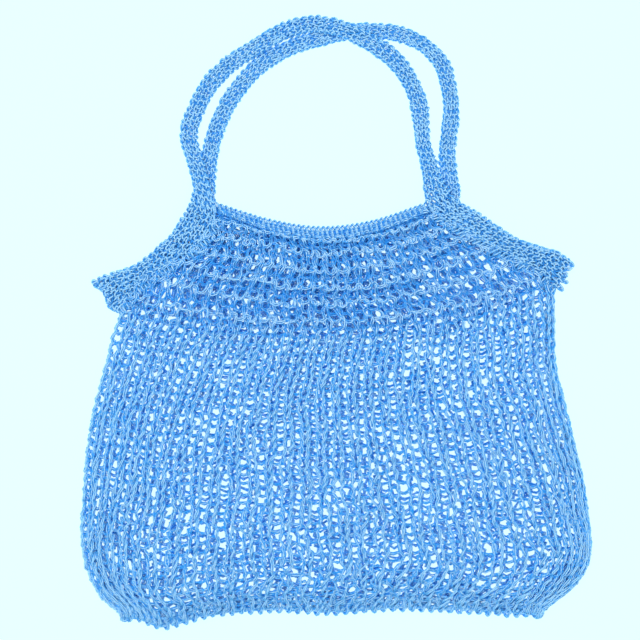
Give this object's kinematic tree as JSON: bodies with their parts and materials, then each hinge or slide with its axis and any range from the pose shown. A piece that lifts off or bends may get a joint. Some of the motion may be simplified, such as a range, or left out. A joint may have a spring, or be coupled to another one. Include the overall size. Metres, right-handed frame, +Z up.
{
  "type": "string bag",
  "caption": "Hand-knitted net string bag in blue yarn, laid flat: open stocking-stitch body, ridged yoke, ribbed mouth band and two long strap handles",
  "frame": {"origin": "on the surface the bag lies on, under the middle of its outline", "axes": "+X to the right across the bag, +Y from the bottom of the bag towards its handles, +Z up from the surface through the front"},
  "size_m": [0.3982, 0.4811, 0.0154],
  "materials": {
    "net_yarn": "open net knitted from a lightly twisted, slightly shiny bright blue yarn about 2 mm thick",
    "rim_yarn": "the same yarn in a firm band of fine upright ribs, a little lighter",
    "strap_yarn": "the same yarn in a dense narrow garter strip with looped edges"
  },
  "bodies": {
    "root": {"bag_body": "net_yarn", "rim_front": "rim_yarn", "rim_back": "rim_yarn", "handle_front": "strap_yarn", "handle_back": "strap_yarn"}
  },
  "joints": []
}
